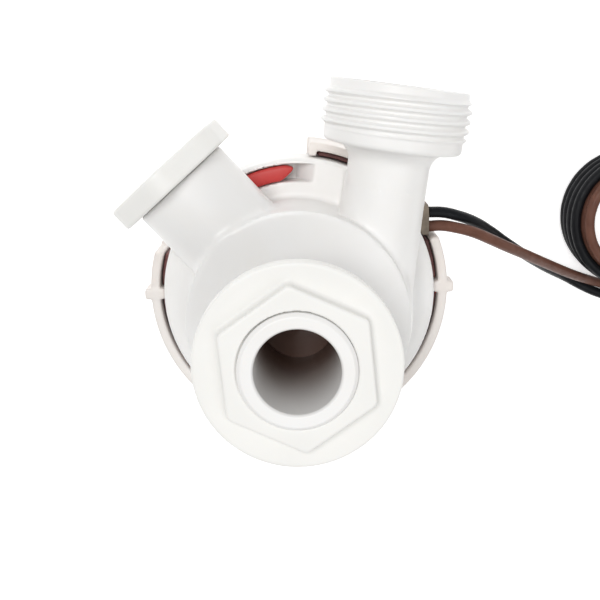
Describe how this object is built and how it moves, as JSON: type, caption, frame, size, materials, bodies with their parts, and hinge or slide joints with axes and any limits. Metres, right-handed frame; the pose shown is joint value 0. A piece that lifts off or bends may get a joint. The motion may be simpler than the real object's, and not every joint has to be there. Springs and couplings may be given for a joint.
{
  "type": "aerator pump",
  "caption": "Cartridge water pump: threaded intake with flanged nut, tangential threaded outlet, plugged side outlet, twist-off motor cartridge and free wire leads.",
  "frame": {"origin": "centre of the motor cover's flat end, on the surface that the pump stands on", "axes": "+Z along the pump's axis from the motor end to the tip of the threaded intake; the threaded outlet points nearly along +Y and the leads leave towards +X"},
  "size_m": [0.1931, 0.1054, 0.12],
  "materials": {
    "housing_white": "satin moulded white",
    "fitting_cream": "satin moulded ivory",
    "collar_blush": "satin moulded, warm off-white",
    "latch_red": "satin moulded red",
    "inner_grey": "moulded grey",
    "gasket_brown": "matt dark brown",
    "black_rubber": "matt black",
    "gland_olive": "matt olive grey",
    "steel": "ground",
    "zinc": "zinc plated",
    "ferrite": "pressed and sintered, dull",
    "lamination": "stacked sheet edges",
    "copper": "bare and enamelled copper",
    "bronze": "sintered, oil filled",
    "carbon": "pressed carbon, dull",
    "lead_black": "extruded insulation, low sheen",
    "lead_brown": "extruded insulation, low sheen"
  },
  "bodies": {
    "cartridge": {"cartridge_flange": "collar_blush", "cartridge_plate": "inner_grey", "cartridge_o_ring": "black_rubber", "collar_gasket": "gasket_brown", "shaft_seal": "black_rubber", "lead_gland": "gland_olive", "motor_cover": "housing_white", "cover_screw_1": "zinc", "cover_screw_2": "zinc", "cover_screw_3": "zinc", "motor_can": "zinc", "magnet_a": "ferrite", "magnet_b": "ferrite", "brush_cap": "inner_grey", "brush_a": "carbon", "brush_b": "carbon", "brush_spring_a": "steel", "brush_spring_b": "steel", "front_bush": "bronze", "rear_bush": "bronze", "inner_black_lead": "lead_black", "inner_brown_lead": "lead_brown", "black_lead": "lead_black", "brown_lead": "lead_brown", "black_lead_coil": "lead_black", "brown_lead_coil": "lead_brown", "black_lead_tail": "lead_black", "brown_lead_tail": "lead_brown", "black_lead_tip": "copper", "brown_lead_tip": "copper"},
    "rotor": {"impeller": "inner_grey", "shaft": "steel", "armature_core": "lamination", "armature_windings": "copper", "commutator": "copper"},
    "housing": {"pump_housing": "housing_white", "intake_tube": "housing_white", "outlet_tube": "housing_white"},
    "latch": {"release_latch": "latch_red"},
    "washer": {"hull_washer": "black_rubber"},
    "nut": {"intake_nut": "fitting_cream"},
    "plug_seal": {"plug_seal": "black_rubber"},
    "plug": {"outlet_plug": "fitting_cream"}
  },
  "joints": [
    {"name": "rotor_spin", "type": "hinge", "parent": "cartridge", "child": "rotor", "pos_m": [0, 0, 0.07], "axis": [0, 0, 1], "continuous": true},
    {"name": "housing_twist", "type": "hinge", "parent": "cartridge", "child": "housing", "pos_m": [0, 0, 0.05], "axis": [0, 0, 1], "range_deg": [0, 15]},
    {"name": "latch_press", "type": "hinge", "parent": "housing", "child": "latch", "pos_m": [-0.01724, 0.03046, 0.0555], "axis": [-0.4924, 0.8704, 0], "range_deg": [0, 5], "stiffness_Nm_per_rad": 0.2, "springref_deg": -2.86},
    {"name": "washer_travel", "type": "slide", "parent": "housing", "child": "washer", "axis": [0, 0, -1], "range_m": [-0.0073, 0.0182]},
    {"name": "nut_turn", "type": "hinge", "parent": "washer", "child": "nut", "pos_m": [0, 0, 0.1155], "axis": [0, 0, -1], "range_deg": [-1440, 3600]},
    {"name": "plug_seal_travel", "type": "slide", "parent": "housing", "child": "plug_seal", "axis": [-0.6756, 0.7373, 0], "range_m": [0, 0.011]},
    {"name": "plug_turn", "type": "hinge", "parent": "plug_seal", "child": "plug", "pos_m": [-0.031, 0.03383, 0.0705], "axis": [-0.6756, 0.7373, 0], "range_deg": [0, 2160]}
  ],
  "couplings": [
    {"joint": "washer_travel", "follows": "nut_turn", "m_per_rad": 0.00028871},
    {"joint": "plug_seal_travel", "follows": "plug_turn", "m_per_rad": 0.00028871}
  ]
}
